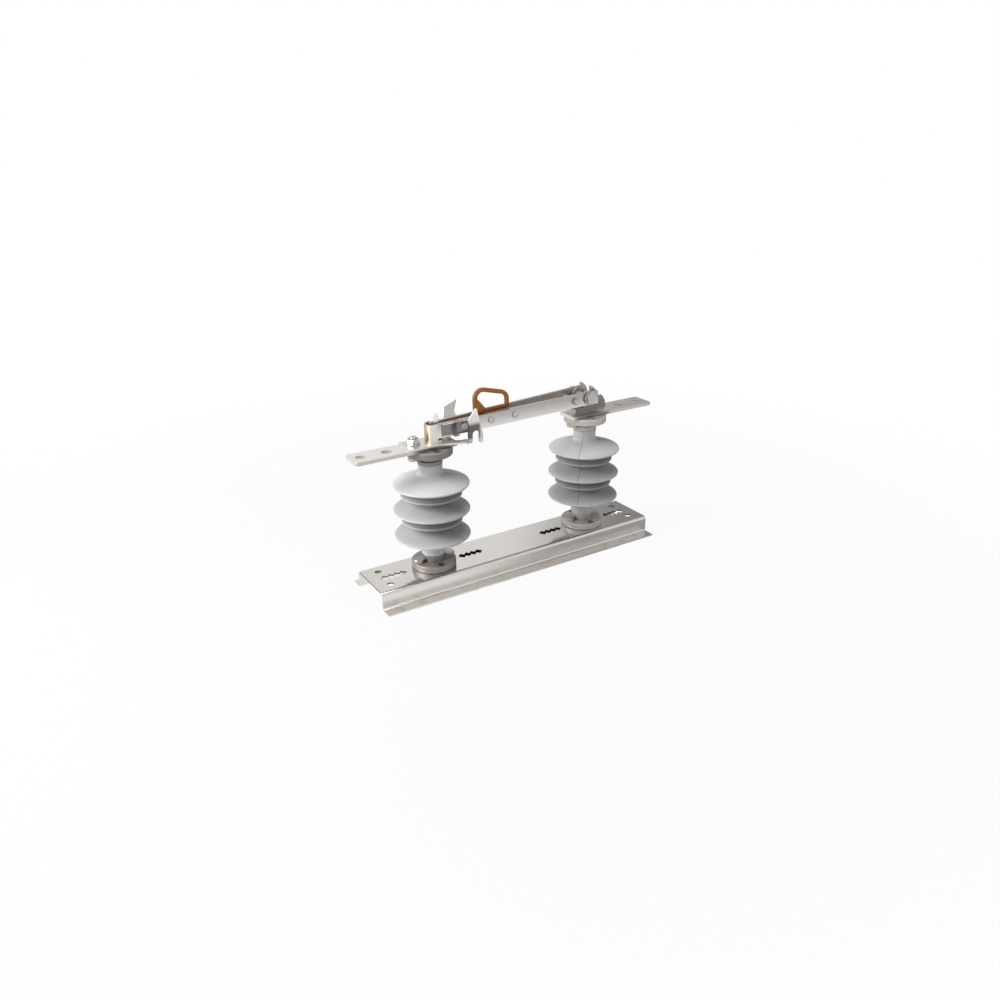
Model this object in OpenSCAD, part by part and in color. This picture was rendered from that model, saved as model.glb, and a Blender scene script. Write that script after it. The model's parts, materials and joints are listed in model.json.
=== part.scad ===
// Single-pole disconnect switch, opened with a hook stick, for overhead lines and substations.
// Two polymer posts stand on a sheet channel. A jaw and a hinge sit on the posts,
// and a blade of two splayed bars swings between them.
// Frame: X along the channel with the hinge at +X, Z up, origin under the middle of the channel.

/* [Base channel] */
// Length of the channel
base_len = 562; // [480:1:700]
// Width across the top face
base_top_w = 97; // [84:1:130]
// Height of the channel
base_h = 32; // [28:1:50]
// Width of each foot lip, out from the side wall
lip_w = 22; // [12:1:35]
// Thickness of the sheet
sheet_t = 2.5; // [1.5:0.5:4]
// Outside radius of the bends
bend_r = 6; // [4.5:0.5:10]
// Diameter of the four round mounting holes
mount_hole_d = 12; // [8:0.5:16]
// Distance of the mounting holes from the channel's ends
mount_hole_inset = 26; // [18:1:40]
// Distance between mounting holes across the channel
mount_hole_dy = 50; // [40:1:60]
// Side of each square notch in a chain slot
notch_side = 11.5; // [8:0.5:12]
// Step from notch to notch
notch_pitch = 11; // [8:0.5:12]
// Notches in each chain slot
notch_count = 4; // [2:1:5]
// Distance from the channel's ends to the middle of the outer chain slots
slot_outer_inset = 44; // [36:1:50]
// Distance from the post axes to the middle of the inner chain slots
slot_inner_gap = 73; // [66:1:90]

/* [Posts] */
// Distance of the post axes from the channel's ends
post_inset = 121; // [110:1:140]
// Height of a post between its two end faces
post_h = 216; // [200:1:280]
// Bolt circle of the flanges
flange_pcd = 57.15; // [50:0.05:70]
// Rim of the end flanges outside the bolt circle
flange_rim = 9.9; // [8:0.1:14]
// Thickness of the end flanges
flange_t = 12; // [9:0.5:16]
// Chamfer of the flange edges
flange_chamfer = 1.2; // [0.5:0.1:2]
// Gap between the crimped ferrule and the bolt heads beside it
ferrule_gap = 0.6; // [0.3:0.1:3]
// Depth of the crimped flats of the ferrule
crimp_depth = 0.7; // [0.3:0.1:1.2]
// Number of flats pressed round the ferrule
crimp_count = 12; // [6:2:16]
// Height of the ferrule between flange and rubber
ferrule_h = 13; // [12:0.5:18]
// Diameter of the rubber neck
neck_d = 41; // [36:0.5:46]
// Diameter of the large sheds
shed_big_d = 130; // [110:1:150]
// Diameter of the small sheds
shed_small_d = 104; // [80:1:109]
// Step from shed to shed along the neck
shed_pitch = 23; // [22:0.5:25]
// Number of sheds, large and small in turn
shed_count = 5; // [3:2:5]
// Radius of the rounded shed rim
rim_r = 2; // [1.5:0.25:3]
// Slope of a shed's upper face, in degrees
shed_top_slope = 19; // [12:0.5:21]
// Thickness of a shed where it meets the neck
shed_root_t = 13; // [10:0.5:15]
// Radius where a shed runs into the neck
shed_root_r = 5; // [2:0.5:6]

/* [Fasteners] */
// Diameter of the flange bolts
bolt_d = 12; // [10:0.2:14.4]
// Play of the bolts in their holes, across the diameter
hole_play = 1.5; // [0.5:0.25:2]
// Width across the flats of bolt heads and nuts
bolt_af = 18; // [16:0.5:19]
// Height of a bolt head
head_h = 6; // [5:0.5:8]
// Height of the low bolt head under the blade
low_head_h = 4.5; // [3:0.5:6]
// Height of a nut
nut_h = 8.5; // [6:0.5:10]
// Outside diameter of the washers
washer_d = 23; // [20:0.5:24]
// Thickness of the washers
washer_t = 2; // [1:0.25:3]
// Length of bolt that stands out of its nut
bolt_proud = 3; // [1:0.5:6]

/* [Terminals] */
// Length of each terminal bar beyond its post axis
terminal_out = 138.5; // [110:0.5:170]
// Width of the terminal bars
terminal_w = 44; // [40:1:50]
// Thickness of the terminal bars
terminal_t = 6; // [5:0.5:8]
// Diameter of the terminal holes
terminal_hole_d = 14; // [10:0.5:16]
// Distance between the two terminal holes
terminal_hole_pitch = 44.5; // [40:0.5:50]
// Distance from the free end to the first terminal hole
terminal_hole_edge = 17; // [12:0.5:20]
// Margin of the bars past the inner washers
terminal_margin = 0.5; // [0.5:0.5:8]
// Radius of the bars' free corners
terminal_corner_r = 4; // [1:0.5:8]

/* [Hook bracket] */
// Thickness of the bracket sheet
bracket_t = 3; // [2:0.5:4]
// Inside radius of the bends up to the hook plates
bracket_bend_in = 4.5; // [3:0.5:9]
// Margin of the plate's square end past the stud's washer
bracket_tail = 5.5; // [2:0.5:14]
// Margin of the plate's front edge past the low bolt's head
bracket_front = 1; // [0.5:0.5:4]
// Half width across the outside of the two hook plates
hook_half_w = 44; // [40:1:50]
// Distance from the plate's front edge to the leg of each hook plate
hook_leg_gap = 11; // [7:0.5:20]
// Width of the leg
hook_leg_w = 7.5; // [7:0.5:10]
// Width of each fork arm of the plate, in from the bend
fork_w = 14; // [8:0.5:16]
// Width of the mouth between leg and hook
hook_mouth = 12.5; // [10:0.5:16]
// Width of the hook's outer arm
hook_arm_w = 7; // [5:0.5:9]
// Height of the hook mouth above the bracket plate
hook_mouth_h = 19; // [14:1:24]
// Height of the hook plate's back corner above its mouth
hook_back_h = 22; // [14:1:26]
// Height of the hook plate's front corner above its mouth
hook_front_h = 10.5; // [2:0.5:14]
// Amount that the hook plate's back edge leans in towards the fold
hook_back_in = 2; // [0:0.5:6]
// Amount that the hook plate's front edge leans in towards the fold
hook_front_in = 5.5; // [0:0.5:8]
// Length of the horn from its slanting fold
horn_len = 21.5; // [16:0.5:32]
// Inward lean of the horn, in degrees
horn_lean = 26; // [0:1:30]
// Distance of the horn's point along the fold from its back corner
horn_point = 9; // [4:0.5:14]
// Width of the horn's blunt point
horn_point_w = 2.5; // [1:0.5:5]

/* [Jaw] */
// Thickness of the jaw strap
strap_t = 3.2; // [2:0.1:3.5]
// Height of the jaw strap above the bracket plate
strap_h = 29.5; // [28:0.5:38]
// Side clearance between blade bars and jaw strap
jaw_gap = 0.6; // [0.3:0.1:2]
// Length of each straight arm of the strap
strap_arm = 1.5; // [1:0.5:10]
// Distance from the low bolt's head to the tongue
tongue_back = 2; // [1:0.5:5]
// Distance that the blade tips reach past the centre of the strap's bend
tip_past = 2; // [0:0.5:3]
// Thickness of the jaw's floor plate
jaw_floor_t = 2.5; // [2:0.5:3]
// Width of the centre tongue
tongue_w = 10; // [8:0.5:12]
// Thickness of the centre tongue
tongue_t = 5; // [3:0.5:6]
// Height of the centre tongue above the jaw's floor
tongue_h = 43; // [36:1:50]
// Gap between the tongue and each blade bar
tongue_gap = 2.8; // [0.5:0.1:4]

/* [Blade] */
// Distance of the hinge pin from the post axis, towards the jaw
pivot_inset = 9; // [6:0.5:12]
// Depth of each blade bar
bar_depth = 24; // [20:0.2:29]
// Thickness of each blade bar
bar_t = 5; // [4:0.5:6]
// Gap between the closed blade and the low bolt's head
blade_clear = 1.12; // [0.8:0.02:4]
// Corner radius of the bars at the tip
bar_nose_r = 3; // [1:0.5:6]
// Corner radius of the bars at the hinge
bar_heel_r = 2; // [1:0.5:6]
// Length of the bars past the hinge pin
bar_tail = 19; // [14:0.5:22]
// Fall of the blade from hinge to jaw, in degrees
blade_fall = 2; // [0:0.1:3]
// Distance from the hinge pin to the spacer bolt
spacer_x = 30; // [28:0.5:60]
// Width across the flats of the spacer bolt
spacer_af = 10; // [8:0.5:13]
// Height of the spacer bolt's head and nut
spacer_head_h = 5; // [3:0.5:6]
// Distance from the latch pin to the first rivet
rivet_gap = 52; // [40:1:70]
// Distance from the first rivet to the second
rivet_pitch = 47; // [30:1:60]
// Diameter of the rivet shanks
rivet_d = 6; // [4:0.5:7]
// Diameter of the rivet heads
rivet_head_d = 11; // [9:0.5:12]
// Height of the rivet heads
rivet_head_h = 3; // [2:0.25:4]

// Thickness of the pressed clips on the bars' jaw end
clip_t = 1.2; // [1:0.1:2]
// Height of the clips' turned-out edges
clip_edge = 3.5; // [2:0.5:5]
// Distance of the clips' edges from the bars' edges
clip_inset = 1; // [0.5:0.5:3]
// Distance from the jaw strap's arms to the clips
clip_gap = 9; // [3:0.5:12]
// Margin of the clips past the latch pin's head
clip_past = 3; // [1:0.5:6]

/* [Hinge] */
// Thickness of the hinge cheeks
cheek_t = 4; // [3:0.5:4.5]
// Gap between the hinge bracket's foot and the washer in front of it
hinge_front_gap = 1; // [0.5:0.5:4]
// Length of the cheeks' low front, past the foot
cheek_front = 14; // [6:0.5:16]
// Height of the cheeks' low front above the terminal bar
cheek_front_h = 14; // [8:0.5:16]
// Gap between the hinge bracket's foot and the washer behind it
hinge_back_gap = 4; // [0.5:0.5:6]
// Gap between the cheeks and the flange nuts between them
cheek_nut_gap = 0.6; // [0.3:0.1:2]
// Gap between each cheek and its blade bar at the hinge pin
cheek_bar_gap = 1.3; // [1.1:0.1:3]
// Distance from the hinge pin to the back of the heel
heel_out = 43; // [38:1:48]
// Height of the heel's underside above the terminal bar
heel_lift = 6; // [3:0.5:9]
// Radius of the heel's round back
heel_r = 36; // [30:1:42]
// Diameter of the hinge pin
pivot_d = 12; // [10:0.5:12]
// Radial play of the blade bars on the hinge pin
pivot_play = 0.06; // [0.02:0.01:0.1]
// Side play of the blade bars under the hinge pin's washers
pivot_side_play = 0.3; // [0.1:0.1:0.8]
// Width across the flats of the hinge pin's head and nut
pivot_af = 18; // [16:0.5:20]
// Outside diameter of the hinge pin's washers
pivot_washer_d = 24; // [20:0.5:26]
// Thickness of the hinge pin's washers
pivot_washer_t = 2; // [1:0.25:3]
// Radius of the guide fin's curved back about the hinge pin
fin_r = 22; // [18:0.5:24]
// Distance of the guide fin's front edge past the hinge pin
fin_past = 6; // [2:0.5:8]
// Radius of the cheeks round the hinge pin
cheek_eye_r = 12; // [10:0.5:14]

/* [Pull ring] */
// Diameter of the latch pin
latch_pin_d = 7; // [5:0.5:8]
// Thickness of the pull ring
ring_t = 6; // [5:0.5:8]
// Width of the ring's section
ring_w = 7; // [5:0.5:8]
// Distance from the latch pin to the ring's near edge
ring_start = 27; // [24:0.5:30]
// Length of the ring
ring_len = 69; // [62:1:76]
// Height of the ring's tall side above the latch pin
ring_tall = 54; // [46:1:56]
// Height of the ring's low side above the latch pin
ring_low = 44; // [38:1:46]
// Height of the ring's foot above the latch pin
ring_foot = 10.5; // [8.5:0.5:12]
// Outside radius of the ring's upper corners
ring_corner_r = 17; // [12:0.5:18]
// Size of the gusset in the ring's corner
ring_gusset = 16; // [8:1:18]
// Radius of the lever's eye round the latch pin
lever_eye_r = 10; // [8:0.5:11]
// Reach of the latch tooth from the latch pin towards the jaw
tooth_reach = 15; // [12:0.5:18]
// Reach of the latch tooth below the latch pin
tooth_drop = 19; // [11:0.5:20]
// Width of the latch tooth's foot
tooth_w = 11; // [8:0.5:14]
// Cut corner of the latch tooth
tooth_cut = 3; // [1:0.5:5]
// Gap between the latch tooth and the bracket plate
tooth_gap = 5; // [3:0.5:8]

/* [Hidden] */
$fn = 64;

// Posts and what is stacked on them
post_x = base_len / 2 - post_inset;
flange_r = flange_pcd / 2;
flange_d = flange_pcd + 2 * flange_rim;
bolt_hole_d = bolt_d + hole_play;
ferrule_d = flange_pcd - bolt_af - 2 * ferrule_gap;
rubber_z0 = base_h + flange_t + ferrule_h;
rubber_z1 = base_h + post_h - flange_t - ferrule_h;
rubber_mid = (rubber_z0 + rubber_z1) / 2;
seat_z = base_h + post_h;
terminal_z = seat_z + terminal_t;
plate_z = terminal_z + bracket_t;
clamp_h = flange_t + terminal_t + bracket_t;
terminal_reach = post_x + terminal_out;
shank_play = 0.2;
head_gap = 0.05;

// Jaw: bolts, plate edges and the middle of the strap behind the low bolt's head
jaw_stud_x = -post_x - flange_r;
jaw_low_x = -post_x + flange_r;
plate_back_x = jaw_stud_x - washer_d / 2 - bracket_tail;
plate_front_x = jaw_low_x + bolt_af / 2 + bracket_front;
leg_x0 = plate_front_x + hook_leg_gap;
leg_x1 = leg_x0 + hook_leg_w;
hook_arm_x = hook_leg_w + hook_mouth;
hook_out_x = hook_arm_x + hook_arm_w;
hook_shoulder_h = hook_mouth_h - hook_front_in;
fold_back = [hook_back_in, hook_mouth_h + hook_back_h];
fold_front = [hook_out_x - hook_front_in, hook_mouth_h + hook_front_h];
fold_len = norm(fold_front - fold_back);
fold_slope = atan((fold_back[1] - fold_front[1]) / (fold_front[0] - fold_back[0]));
bracket_bend_r = bracket_bend_in + bracket_t;
bend_y = hook_half_w - bracket_bend_r;
jaw_x = jaw_low_x - bolt_af / 2 - tongue_back - tongue_w;

// Hinge bracket, between the two flange nuts
hinge_x0 = post_x - flange_r + washer_d / 2 + hinge_front_gap;
hinge_x1 = post_x + flange_r - washer_d / 2 - hinge_back_gap;
cheek_half_w = max(bolt_af / cos(30), washer_d) / 2 + cheek_nut_gap + cheek_t;

// Blade, from the hinge pin to the tips in the jaw
pivot_x = post_x - pivot_inset;
pivot_h = bracket_t + low_head_h + blade_clear + bar_depth / 2 / cos(blade_fall)
  + (pivot_x - jaw_low_x + bolt_af / 2) * tan(blade_fall);
pivot_z = terminal_z + pivot_h;
blade_len = (pivot_x - jaw_x + tip_past) / cos(blade_fall);
tip_half_gap = tongue_t / 2 + tongue_gap;
hinge_half_gap = cheek_half_w + cheek_bar_gap;
splay = atan((hinge_half_gap - tip_half_gap) / blade_len);
strap_in = tip_half_gap + bar_t + (strap_arm + tip_past) * tan(splay) + jaw_gap;
strap_out = strap_in + strap_t;
latch_x = (pivot_x - plate_front_x - tooth_gap - tooth_reach) / cos(blade_fall);
rivet_x = [latch_x - rivet_gap, latch_x - rivet_gap - rivet_pitch];
clip_x0 = blade_len - tip_past - strap_arm - clip_gap;
clip_x1 = latch_x - rivet_head_d / 2 - clip_past;
clip_seat = clip_t / cos(splay) + head_gap;
pivot_half = hinge_half_gap + bar_t + pivot_washer_d / 2 * tan(splay) + pivot_side_play;

// Shared shapes

// A quarter of a sheet bend, in the quadrant given by the two signs
module bend_quarter(r_out, t, sx, sy) {
  intersection() {
    difference() {
      circle(r_out);
      circle(r_out - t);
    }
    translate([sx > 0 ? 0 : -r_out, sy > 0 ? 0 : -r_out]) square(r_out);
  }
}

module hex(af, h) {
  cylinder(d = af / cos(30), h = h, $fn = 6);
}

// Hex head with a turned chamfer on its free face
module hex_head(af, h) {
  intersection() {
    hex(af, h);
    cylinder(r1 = af / 2 + h, r2 = af / 2 - 0.4, h = h + 0.4);
  }
}

module hex_nut(af, h, bore) {
  difference() {
    hex_head(af, h);
    translate([0, 0, -1]) cylinder(d = bore, h = h + 2);
  }
}

module washer(d, bore, t) {
  difference() {
    cylinder(d = d, h = t);
    translate([0, 0, -1]) cylinder(d = bore, h = t + 2);
  }
}

// Bolt with its head below z = 0 and its shank rising above; two flats of the head face along X
module bolt_up(h, head = head_h) {
  cylinder(d = bolt_d, h = h);
  mirror([0, 0, 1]) rotate(30) hex_head(bolt_af, head);
}

// Bolt with its head above z = 0 and its shank hanging below
module bolt_down(h, head = head_h) {
  mirror([0, 0, 1]) bolt_up(h, head);
}

module at_flange_pair(x) {
  for (side = [-1, 1]) translate([x + side * flange_r, 0, 0]) children();
}

// Base channel

module hat_half() {
  r_in = bend_r - sheet_t;
  half = base_top_w / 2;
  translate([0, base_h - sheet_t]) square([half - bend_r, sheet_t]);
  translate([half - bend_r, base_h - bend_r]) bend_quarter(bend_r, sheet_t, 1, 1);
  translate([half - sheet_t, bend_r]) square([sheet_t, base_h - 2 * bend_r]);
  translate([half + r_in, bend_r]) bend_quarter(bend_r, sheet_t, -1, -1);
  translate([half + r_in, 0]) square([lip_w - r_in, sheet_t]);
}

module chain_slot() {
  for (i = [0 : notch_count - 1])
    translate([(i - (notch_count - 1) / 2) * notch_pitch, 0, 0])
      rotate(45) cube([notch_side, notch_side, 4 * sheet_t], center = true);
}

module base_channel() {
  color("#c9c6c0")
  difference() {
    rotate([90, 0, 90]) linear_extrude(base_len, center = true) {
      hat_half();
      mirror([1, 0]) hat_half();
    }
    translate([0, 0, base_h]) {
      for (sx = [-1, 1]) {
        for (sy = [-1, 1])
          translate([sx * (base_len / 2 - mount_hole_inset), sy * mount_hole_dy / 2, 0])
            cylinder(d = mount_hole_d, h = 4 * sheet_t, center = true);
        for (x = [post_x - slot_inner_gap, base_len / 2 - slot_outer_inset])
          translate([sx * x, 0, 0]) chain_slot();
        at_flange_pair(sx * post_x) cylinder(d = bolt_hole_d, h = 4 * sheet_t, center = true);
      }
    }
  }
}

// Posts

// End fitting standing on z = 0: a drilled flange and a crimped ferrule above it
module end_fitting() {
  r = flange_d / 2;
  crimp_d = ferrule_d - 2 * crimp_depth;
  inner = r - flange_chamfer;
  difference() {
    union() {
      rotate_extrude()
        polygon([
          [0, 0], [inner, 0], [r, flange_chamfer],
          [r, flange_t - flange_chamfer], [inner, flange_t], [0, flange_t]
        ]);
      intersection() {
        cylinder(d = ferrule_d, h = flange_t + ferrule_h);
        cylinder(d = crimp_d / cos(180 / crimp_count), h = flange_t + ferrule_h, $fn = crimp_count);
      }
    }
    for (a = [0 : 90 : 270])
      rotate(a) translate([flange_r, 0, -1]) cylinder(d = bolt_hole_d, h = flange_t + 2);
  }
}

function shed_d(i) = i % 2 == 0 ? shed_big_d : shed_small_d;

// Height of a shed's root so that the middle shed's rim is at half the rubber's height
function shed_root_z(i) =
  rubber_mid + (shed_big_d - neck_d) / 2 * tan(shed_top_slope)
  + ((shed_count - 1) / 2 - i) * shed_pitch;

// Points of an arc about c, from angle a0 to angle a1
function arc(c, r, a0, a1, n = 6) =
  [for (i = [0 : n]) c + r * [cos(a0 + (a1 - a0) * i / n), sin(a0 + (a1 - a0) * i / n)]];

// Half section of one shed, from the neck above it to the neck below it:
// upper root fillet, sloping upper face, round rim, under face and lower root fillet.
// The under face runs from the neck to touch the rim, and the fillets fit between two sheds.
function shed_points(d, root_z) =
  let (
    a = shed_top_slope,
    neck_r = neck_d / 2,
    rim = [d / 2 - rim_r, root_z - (d / 2 - rim_r - neck_r) * tan(a) - rim_r / cos(a)],
    to_rim = rim - [neck_r, root_z - shed_root_t],
    b = atan(-to_rim[1] / to_rim[0]) + asin(rim_r / norm(to_rim)),
    room = (shed_pitch - shed_root_t) / 2,
    upper_r = min(shed_root_r, room),
    lower_r = min(0.6 * shed_root_r, 0.8 * room),
    upper_fillet = [neck_r + upper_r, root_z + upper_r * (1 - sin(a)) / cos(a)],
    lower_fillet = [neck_r + lower_r, root_z - shed_root_t - lower_r * (1 + sin(b)) / cos(b)]
  )
  concat(
    arc(upper_fillet, upper_r, 180, 270 - a),
    arc(rim, rim_r, 90 - a, -90 - b),
    arc(lower_fillet, lower_r, 90 - b, 180)
  );

module post_rubber(x) {
  color("#b9bcbd")
  translate([x, 0, 0]) rotate_extrude()
    polygon(concat(
      [[0, rubber_z1], [neck_d / 2, rubber_z1]],
      [for (i = [0 : shed_count - 1]) each shed_points(shed_d(i), shed_root_z(i))],
      [[neck_d / 2, rubber_z0], [0, rubber_z0]]
    ));
}

module bottom_fitting(x) {
  color("#aaa7a2") translate([x, 0, base_h]) end_fitting();
}

module top_fitting(x) {
  color("#aaa7a2") translate([x, 0, seat_z]) mirror([0, 0, 1]) end_fitting();
}

module jaw_post_bottom_fitting() { bottom_fitting(-post_x); }
module jaw_post_rubber() { post_rubber(-post_x); }
module jaw_post_top_fitting() { top_fitting(-post_x); }
module hinge_post_bottom_fitting() { bottom_fitting(post_x); }
module hinge_post_rubber() { post_rubber(post_x); }
module hinge_post_top_fitting() { top_fitting(post_x); }

// Fasteners of the posts

module base_bolts(x) {
  grip = flange_t + sheet_t + nut_h + bolt_proud;
  color("#b7b4af") at_flange_pair(x) translate([0, 0, base_h + flange_t]) bolt_down(grip);
}

module base_nuts(x) {
  color("#b7b4af") at_flange_pair(x)
    translate([0, 0, base_h - sheet_t - nut_h]) hex_nut(bolt_af, nut_h, bolt_d + 2 * shank_play);
}

module jaw_post_base_bolts() { base_bolts(-post_x); }
module jaw_post_base_nuts() { base_nuts(-post_x); }
module hinge_post_base_bolts() { base_bolts(post_x); }
module hinge_post_base_nuts() { base_nuts(post_x); }

// Jaw end

// Flat bar along X with two terminal holes and two flange holes
module terminal_bar() {
  x0 = post_x - flange_r - washer_d / 2 - terminal_margin;
  r = terminal_corner_r;
  half = terminal_w / 2;
  color("#cfccc6")
  difference() {
    translate([0, 0, seat_z]) linear_extrude(terminal_t) {
      translate([x0, -half]) square([terminal_reach - r - x0, terminal_w]);
      translate([terminal_reach - r, -half + r]) square([r, terminal_w - 2 * r]);
      for (side = [-1, 1]) translate([terminal_reach - r, side * (half - r)]) circle(r);
    }
    for (i = [0, 1])
      translate([terminal_reach - terminal_hole_edge - i * terminal_hole_pitch, 0, seat_z - 1])
        cylinder(d = terminal_hole_d, h = terminal_t + 2);
    at_flange_pair(post_x)
      translate([0, 0, seat_z - 1]) cylinder(d = bolt_hole_d, h = terminal_t + 2);
  }
}

module jaw_terminal() { mirror([1, 0, 0]) terminal_bar(); }

module jaw_stud_bolt() {
  color("#b7b4af") translate([jaw_stud_x, 0, seat_z - flange_t])
    bolt_up(clamp_h + washer_t + nut_h + bolt_proud);
}

module jaw_stud_washer() {
  color("#c4c1bb") translate([jaw_stud_x, 0, plate_z])
    washer(washer_d, bolt_d + 2 * shank_play, washer_t);
}

module jaw_stud_nut() {
  color("#b7b4af") translate([jaw_stud_x, 0, plate_z + washer_t])
    hex_nut(bolt_af, nut_h, bolt_d + 2 * shank_play);
}

module jaw_low_bolt() {
  color("#b7b4af") translate([jaw_low_x, 0, plate_z])
    bolt_down(clamp_h + nut_h + bolt_proud / 2, low_head_h);
}

module jaw_low_nut() {
  color("#b7b4af") translate([jaw_low_x, 0, seat_z - flange_t - nut_h])
    rotate(30) hex_nut(bolt_af, nut_h, bolt_d + 2 * shank_play);
}

// Hook bracket: a flat plate that forks into two arms, each bent up into a hook plate.
// The hook plate's upper corner folds inwards along a slanting line and makes the horn.

// Corners of one side of the plate, from the tail to the middle of the fork
function plate_side(side) = [
  [plate_back_x, side * terminal_w / 2],
  [jaw_x, side * terminal_w / 2],
  [leg_x0, side * bend_y],
  [leg_x1, side * bend_y],
  [leg_x1, side * (bend_y - fork_w)],
  [leg_x0 - hook_leg_w / 2, side * (bend_y - fork_w)],
  [plate_front_x, side * bolt_af]
];

module bracket_plate() {
  far = plate_side(1);
  difference() {
    linear_extrude(bracket_t)
      polygon(concat(plate_side(-1), [for (i = [len(far) - 1 : -1 : 0]) far[i]]));
    at_flange_pair(-post_x)
      translate([0, 0, -1]) cylinder(d = bolt_hole_d, h = bracket_t + 2);
  }
}

// Outline of the hook plate below its fold, drawn from the leg's corner: leg, round mouth and arm
module hook_outline() {
  mouth_r = hook_mouth / 2;
  difference() {
    union() {
      polygon([
        [0, bracket_bend_in], [0, hook_mouth_h], fold_back, fold_front,
        [hook_out_x, hook_shoulder_h], [hook_out_x, 0], [hook_arm_x, 0], [hook_arm_x, bracket_bend_in]
      ]);
      translate([hook_arm_x + hook_arm_w / 2, 0]) circle(hook_arm_w / 2);
    }
    translate([hook_leg_w + mouth_r, hook_mouth_h - mouth_r]) circle(mouth_r);
    translate([hook_leg_w, -hook_arm_w])
      square([hook_mouth, hook_arm_w + hook_mouth_h - mouth_r]);
  }
}

// Outline of the horn, drawn along the fold from its back corner
module horn_outline() {
  polygon([
    [0, 0], [fold_len, 0], [horn_point + horn_point_w, horn_len], [horn_point, horn_len]
  ]);
}

module hook_plate() {
  translate([leg_x0, -hook_half_w, bracket_t]) {
    translate([0, bracket_t, 0]) rotate([90, 0, 0]) linear_extrude(bracket_t) hook_outline();
    translate([fold_back[0], 0, fold_back[1]]) rotate([0, fold_slope, 0]) rotate([-horn_lean, 0, 0])
      translate([0, bracket_t, 0]) rotate([90, 0, 0]) linear_extrude(bracket_t) horn_outline();
  }
  translate([leg_x0, -bend_y, bracket_bend_r]) rotate([90, 0, 90]) linear_extrude(hook_leg_w)
    bend_quarter(bracket_bend_r, bracket_t, -1, -1);
}

module hook_bracket() {
  color("#bdbab4") translate([0, 0, terminal_z]) {
    bracket_plate();
    hook_plate();
    mirror([0, 1, 0]) hook_plate();
  }
}

// Jaw strap: a strip bent round a half circle, with a floor plate that also carries the tongue
module jaw_strap() {
  lap = strap_t / 4;
  floor_r = strap_in + lap;
  color("#c7b489")
  translate([jaw_x, 0, plate_z]) {
    linear_extrude(strap_h) difference() {
      intersection() {
        circle(strap_out);
        translate([-strap_out, -strap_out]) square([strap_out, 2 * strap_out]);
      }
      circle(strap_in);
    }
    for (side = [-1, 1])
      translate([-lap, side * (strap_in + strap_t / 2) - strap_t / 2, 0])
        cube([strap_arm + lap, strap_t, strap_h]);
    linear_extrude(jaw_floor_t) intersection() {
      union() {
        circle(floor_r);
        translate([0, -floor_r]) square([tongue_w, 2 * floor_r]);
      }
      translate([-floor_r, -floor_r]) square([floor_r + tongue_w, 2 * floor_r]);
    }
  }
}

// Tongue between the blade tips, with a round top
module jaw_tongue() {
  r = tongue_w / 2;
  color("#d6d3cd")
  translate([jaw_x, tongue_t / 2, plate_z + jaw_floor_t]) rotate([90, 0, 0]) linear_extrude(tongue_t) {
    square([tongue_w, tongue_h - r]);
    translate([r, tongue_h - r]) circle(r);
  }
}

// Hinge end

module hinge_terminal() { terminal_bar(); }

module hinge_flange_bolts() {
  color("#b7b4af") at_flange_pair(post_x) translate([0, 0, seat_z - flange_t])
    bolt_up(flange_t + terminal_t + washer_t + nut_h + bolt_proud / 2);
}

module hinge_flange_washers() {
  color("#c4c1bb") at_flange_pair(post_x) translate([0, 0, terminal_z])
    washer(washer_d, bolt_d + 2 * shank_play, washer_t);
}

module hinge_flange_nuts() {
  color("#b7b4af") at_flange_pair(post_x) translate([0, 0, terminal_z + washer_t])
    rotate(30) hex_nut(bolt_af, nut_h, bolt_d + 2 * shank_play);
}

// Outline of a hinge cheek, from the front edge of its foot: foot, low front, eye, curved heel and fin
module cheek_outline() {
  foot = hinge_x1 - hinge_x0;
  pin = pivot_x - hinge_x0;
  square([foot, pivot_h]);
  translate([-cheek_front, 0]) square([cheek_front + cheek_t, cheek_front_h]);
  translate([pin, pivot_h]) circle(cheek_eye_r);
  intersection() {
    translate([pin + heel_out - heel_r, heel_lift]) circle(heel_r);
    translate([pin, heel_lift]) square([heel_out, pivot_h - heel_lift]);
  }
  intersection() {
    translate([pin, pivot_h]) circle(fin_r);
    translate([pin + fin_past, pivot_h - fin_past]) square([fin_r, fin_r + fin_past]);
  }
}

module hinge_bracket() {
  color("#8f8d8a")
  difference() {
    translate([hinge_x0, 0, terminal_z]) {
      translate([0, -cheek_half_w, 0]) cube([hinge_x1 - hinge_x0, 2 * cheek_half_w, cheek_t]);
      for (side = [-1, 1])
        translate([0, side * (cheek_half_w - cheek_t / 2) + cheek_t / 2, 0])
          rotate([90, 0, 0]) linear_extrude(cheek_t) cheek_outline();
    }
    translate([pivot_x, 0, pivot_z]) rotate([90, 0, 0])
      cylinder(d = pivot_d + 2 * pivot_play, h = 3 * cheek_half_w, center = true);
  }
}

module hinge_pin() {
  color("#b0ada8")
  translate([pivot_x, -pivot_half - pivot_washer_t, pivot_z]) rotate([-90, 0, 0]) {
    cylinder(d = pivot_d, h = 2 * (pivot_half + pivot_washer_t) + nut_h + bolt_proud);
    rotate(30) mirror([0, 0, 1]) hex_head(pivot_af, head_h);
  }
}

module hinge_pin_washers() {
  color("#c4c1bb") for (side = [-1, 1])
    translate([pivot_x, side * (pivot_half + pivot_washer_t / 2) - pivot_washer_t / 2, pivot_z])
      rotate([-90, 0, 0]) washer(pivot_washer_d, pivot_d + 2 * shank_play, pivot_washer_t);
}

module hinge_pin_nut() {
  color("#b7b4af") translate([pivot_x, pivot_half + pivot_washer_t, pivot_z])
    rotate([-90, 0, 0]) rotate(30) hex_nut(pivot_af, nut_h, pivot_d + 2 * shank_play);
}

// Blade. Its own frame has the hinge pin at the origin and the blade along -X

module blade_frame() {
  translate([pivot_x, 0, pivot_z]) rotate([0, -blade_fall, 0]) children();
}

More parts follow.
